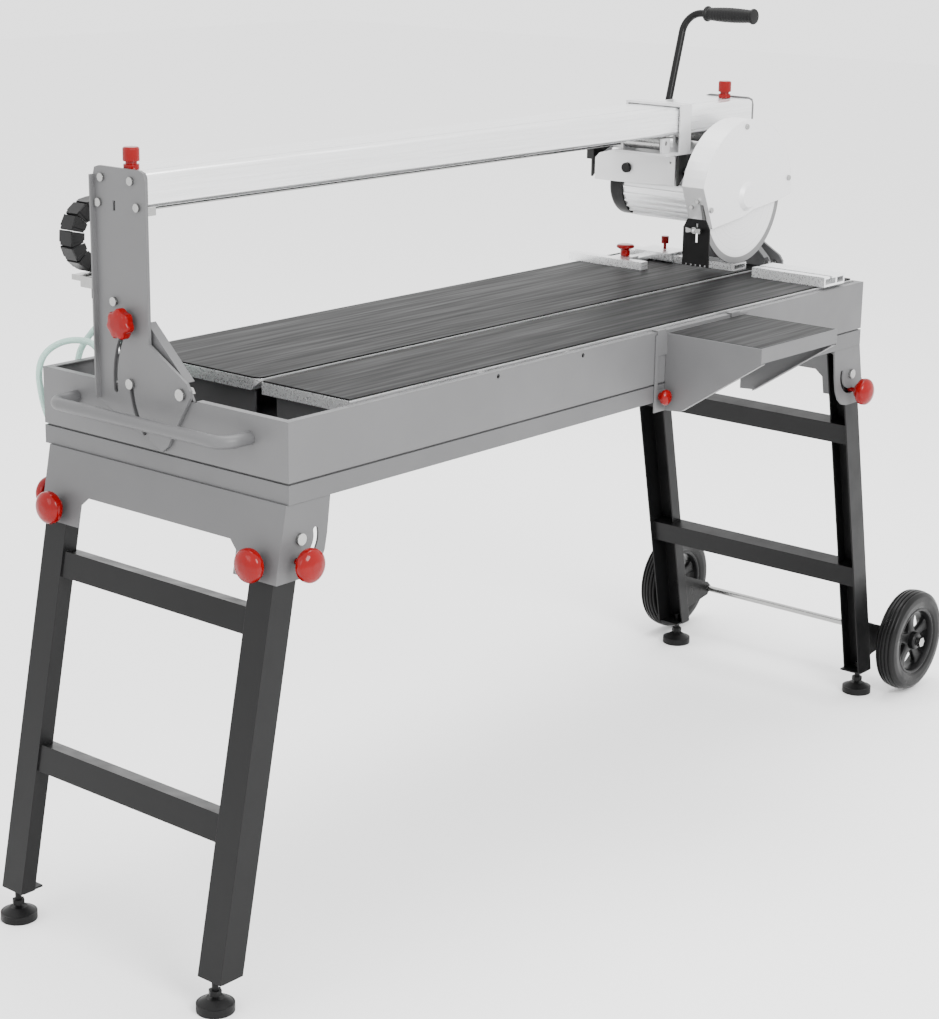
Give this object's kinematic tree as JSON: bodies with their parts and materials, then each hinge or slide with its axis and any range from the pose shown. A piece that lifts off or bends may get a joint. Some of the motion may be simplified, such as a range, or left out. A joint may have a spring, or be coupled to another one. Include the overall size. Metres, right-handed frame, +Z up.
{
  "type": "tile cutter",
  "caption": "Bridge tile cutter: a motor head with a guarded diamond blade runs along a tilting rail over a water tray on a folding wheeled stand.",
  "frame": {"origin": "centre of the bounding box of everything but the hose, on the floor", "axes": "+X along the rail towards the wheeled end, +Y away from the operator, +Z up"},
  "size_m": [1.94, 0.75, 1.3191],
  "materials": {
    "tray_grey": "satin powder coat",
    "frame_grey": "satin powder coat",
    "upright_grey": "satin powder coat",
    "leg_black": "satin powder coat",
    "black_steel": "satin",
    "aluminium": "satin extrusion",
    "motor_alu": "cast and finned",
    "guard_silver": "smooth silver paint",
    "blade_steel": "ground",
    "zinc": "zinc plated",
    "red_plastic": "gloss",
    "mat_rubber": "ribbed",
    "black_rubber": "matt",
    "black_plastic": "moulded",
    "tyre": "ribbed",
    "hose": "translucent",
    "copper": "wound"
  },
  "bodies": {
    "frame": {"tray": "tray_grey", "base_frame": "frame_grey", "table_rear": "aluminium", "table_front": "aluminium", "table_mats": "mat_rubber", "carry_handles": "frame_grey", "tilt_brackets": "tray_grey", "leg_brackets": "frame_grey", "pump": "black_plastic", "fence_rails": "aluminium", "frame_fasteners": "zinc", "end_locks": "red_plastic", "pump_hose": "hose"},
    "drain_plug": {"drain_plug": "black_rubber"},
    "gantry": {"uprights": "upright_grey", "rail": "aluminium", "gantry_fasteners": "zinc", "chain_supports": "zinc", "cable_gland": "black_plastic"},
    "chain": {"chain_loop": "black_plastic", "chain_upper": "black_plastic"},
    "carriage": {"carriage_frame": "black_steel", "plunge_pivot": "zinc"},
    "roller_left": {"roller_left": "zinc"},
    "roller_right": {"roller_right": "zinc"},
    "head": {"head_bracket": "guard_silver", "motor_housing": "motor_alu", "motor_end_cap": "black_plastic", "motor_stator": "copper", "guard_shell": "guard_silver", "guard_cover": "guard_silver", "head_fasteners": "zinc", "handle_rod": "black_steel", "handle_grip": "black_rubber"},
    "arbor": {"rotor": "zinc", "blade": "blade_steel", "blade_clamp": "zinc"},
    "switch": {"switch_rocker": "black_plastic"},
    "flap": {"splash_flap": "black_rubber"},
    "wing_nut": {"wing_nut": "zinc"},
    "tilt_knob_left": {"tilt_knob_left": "red_plastic"},
    "tilt_knob_right": {"tilt_knob_right": "red_plastic"},
    "rail_knob_left": {"rail_knob_left": "red_plastic"},
    "rail_knob_right": {"rail_knob_right": "red_plastic"},
    "leg_frame_left": {"leg_frame_left": "leg_black"},
    "leg_frame_right": {"leg_frame_right": "leg_black", "wheel_axle": "zinc", "wheel_brackets": "black_steel"},
    "feet_left": {"feet_left": "black_rubber"},
    "feet_right": {"feet_right": "black_rubber"},
    "side_locks_left": {"side_locks_left": "red_plastic"},
    "side_locks_right": {"side_locks_right": "red_plastic"},
    "wheel_front": {"wheel_front": "tyre"},
    "wheel_back": {"wheel_back": "tyre"},
    "side_table": {"side_table": "tray_grey"},
    "side_table_knob": {"side_table_knob": "red_plastic"},
    "stop_slider": {"stop_slider": "aluminium"},
    "stop_bar": {"stop_bar": "aluminium"},
    "stop_pivot_knob": {"stop_pivot_knob": "red_plastic"},
    "stop_slide_knob": {"stop_slide_knob": "red_plastic"}
  },
  "joints": [
    {"name": "gantry_tilt", "type": "hinge", "parent": "frame", "child": "gantry", "pos_m": [-0.075, 0.015, 0.847], "axis": [1, 0, 0], "range_deg": [0, 45]},
    {"name": "carriage_slide", "type": "slide", "parent": "gantry", "child": "carriage", "axis": [-1, 0, 0], "range_m": [0, 1.06]},
    {"name": "chain_slide", "type": "slide", "parent": "gantry", "child": "chain", "axis": [-1, 0, 0], "range_m": [0, 0.53], "deforming": ["chain_upper"]},
    {"name": "roller_left_spin", "type": "hinge", "parent": "carriage", "child": "roller_left", "pos_m": [0.425, 0.136, 1.0875], "axis": [0, 1, 0], "continuous": true},
    {"name": "roller_right_spin", "type": "hinge", "parent": "carriage", "child": "roller_right", "pos_m": [0.588, 0.136, 1.0875], "axis": [0, 1, 0], "continuous": true},
    {"name": "head_plunge", "type": "hinge", "parent": "carriage", "child": "head", "pos_m": [0.498, 0.191, 1.03], "axis": [0, 1, 0], "range_deg": [0, 24], "stiffness_Nm_per_rad": 13, "springref_deg": -57.3},
    {"name": "blade_spin", "type": "hinge", "parent": "head", "child": "arbor", "pos_m": [0.558, 0.111, 0.989], "axis": [0, 1, 0], "continuous": true},
    {"name": "switch_rock", "type": "hinge", "parent": "head", "child": "switch", "pos_m": [0.48, 0.216, 1.028], "axis": [0, 1, 0], "range_deg": [-5, 5]},
    {"name": "flap_slide", "type": "slide", "parent": "head", "child": "flap", "axis": [0, 0, -1], "range_m": [0, 0.009]},
    {"name": "wing_nut_turn", "type": "hinge", "parent": "head", "child": "wing_nut", "pos_m": [0.428, 0.022, 0.938], "axis": [1, 0, 0], "continuous": true},
    {"name": "tilt_knob_left_turn", "type": "hinge", "parent": "frame", "child": "tilt_knob_left", "pos_m": [-0.84, 0.12272, 0.93485], "axis": [1, 0, 0], "continuous": true},
    {"name": "tilt_knob_right_turn", "type": "hinge", "parent": "frame", "child": "tilt_knob_right", "pos_m": [0.704, 0.12272, 0.93485], "axis": [1, 0, 0], "continuous": true},
    {"name": "rail_knob_left_turn", "type": "hinge", "parent": "gantry", "child": "rail_knob_left", "pos_m": [-0.808, 0.128, 1.16], "axis": [0, 0, 1], "continuous": true},
    {"name": "rail_knob_right_turn", "type": "hinge", "parent": "gantry", "child": "rail_knob_right", "pos_m": [0.661, 0.128, 1.16], "axis": [0, 0, 1], "continuous": true},
    {"name": "leg_fold_left", "type": "hinge", "parent": "frame", "child": "leg_frame_left", "pos_m": [-0.797, 0.062, 0.671], "axis": [0, -1, 0], "range_deg": [0, 95]},
    {"name": "leg_fold_right", "type": "hinge", "parent": "frame", "child": "leg_frame_right", "pos_m": [0.647, 0.062, 0.671], "axis": [0, 1, 0], "range_deg": [0, 95]},
    {"name": "feet_left_screw", "type": "slide", "parent": "leg_frame_left", "child": "feet_left", "axis": [0, 0, -1], "range_m": [0, 0.015]},
    {"name": "feet_right_screw", "type": "slide", "parent": "leg_frame_right", "child": "feet_right", "axis": [0, 0, -1], "range_m": [0, 0.015]},
    {"name": "side_locks_left_turn", "type": "hinge", "parent": "leg_frame_left", "child": "side_locks_left", "pos_m": [-0.804, 0.062, 0.64], "axis": [0, 1, 0], "continuous": true},
    {"name": "side_locks_right_turn", "type": "hinge", "parent": "leg_frame_right", "child": "side_locks_right", "pos_m": [0.654, 0.062, 0.64], "axis": [0, 1, 0], "continuous": true},
    {"name": "wheel_front_spin", "type": "hinge", "parent": "leg_frame_right", "child": "wheel_front", "pos_m": [0.87, -0.221, 0.104], "axis": [0, 1, 0], "continuous": true},
    {"name": "wheel_back_spin", "type": "hinge", "parent": "leg_frame_right", "child": "wheel_back", "pos_m": [0.87, 0.345, 0.104], "axis": [0, 1, 0], "continuous": true},
    {"name": "side_table_lift", "type": "slide", "parent": "frame", "child": "side_table", "axis": [0, 0, 1], "range_m": [0, 0.03]},
    {"name": "side_table_knob_turn", "type": "hinge", "parent": "side_table", "child": "side_table_knob", "pos_m": [0.037, -0.199, 0.732], "axis": [0, 1, 0], "continuous": true},
    {"name": "drain_plug_pull", "type": "slide", "parent": "frame", "child": "drain_plug", "axis": [0, 0, -1], "range_m": [0, 0.03]},
    {"name": "stop_slider_slide", "type": "slide", "parent": "frame", "child": "stop_slider", "axis": [0, 1, 0], "range_m": [-0.12, 0.03]},
    {"name": "stop_bar_turn", "type": "hinge", "parent": "stop_slider", "child": "stop_bar", "pos_m": [0.492, 0.223, 0.855], "axis": [0, 0, 1], "range_deg": [-45, 45]},
    {"name": "stop_pivot_knob_turn", "type": "hinge", "parent": "stop_slider", "child": "stop_pivot_knob", "pos_m": [0.492, 0.223, 0.87], "axis": [0, 0, 1], "continuous": true},
    {"name": "stop_slide_knob_turn", "type": "hinge", "parent": "stop_slider", "child": "stop_slide_knob", "pos_m": [0.6, 0.209, 0.88], "axis": [0, 0, 1], "continuous": true}
  ],
  "couplings": [
    {"joint": "chain_slide", "follows": "carriage_slide", "ratio": 0.5},
    {"joint": "roller_left_spin", "follows": "carriage_slide", "rad_per_m": 76.923},
    {"joint": "roller_right_spin", "follows": "carriage_slide", "rad_per_m": 76.923}
  ]
}
